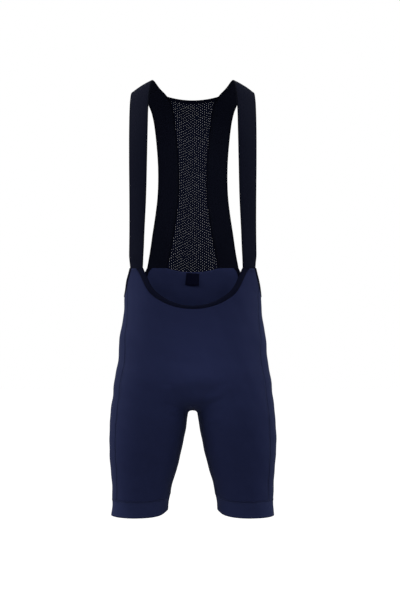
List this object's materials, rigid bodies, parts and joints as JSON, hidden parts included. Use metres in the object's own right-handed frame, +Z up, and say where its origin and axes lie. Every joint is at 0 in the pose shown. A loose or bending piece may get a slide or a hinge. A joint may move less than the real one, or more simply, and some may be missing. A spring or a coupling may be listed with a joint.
{
  "type": "cycling bib shorts",
  "caption": "Close-fitting cycling bib shorts in their worn shape, empty: wide elastic shoulder straps, a mesh back, a scooped front and gripper hems.",
  "frame": {"origin": "midway between the crowns of the two shoulder straps, where the wearer's shoulders hold the shorts up", "axes": "+Z up, +X to the viewer's right seen from the front, and the front faces -Y"},
  "size_m": [0.3554, 0.2288, 0.9272],
  "materials": {
    "navy_fabric": "smooth matt warp-knit stretch fabric with a soft sheen",
    "hem_elastic": "flat knitted gripper elastic",
    "strap_elastic": "flat woven elastic, matt",
    "mesh": "open warp-knit mesh",
    "label_tape": "bare satin tape"
  },
  "bodies": {
    "root": {"front_panel": "navy_fabric", "back_panel": "navy_fabric", "side_panel_left": "navy_fabric", "side_panel_right": "navy_fabric", "inner_leg_panel": "navy_fabric", "hem_band_left": "hem_elastic", "hem_band_right": "hem_elastic", "strap_left": "strap_elastic", "strap_right": "strap_elastic", "scoop_binding": "strap_elastic", "armhole_binding_left": "strap_elastic", "armhole_binding_right": "strap_elastic", "neck_binding": "strap_elastic", "back_mesh": "mesh", "label": "label_tape"}
  },
  "joints": []
}
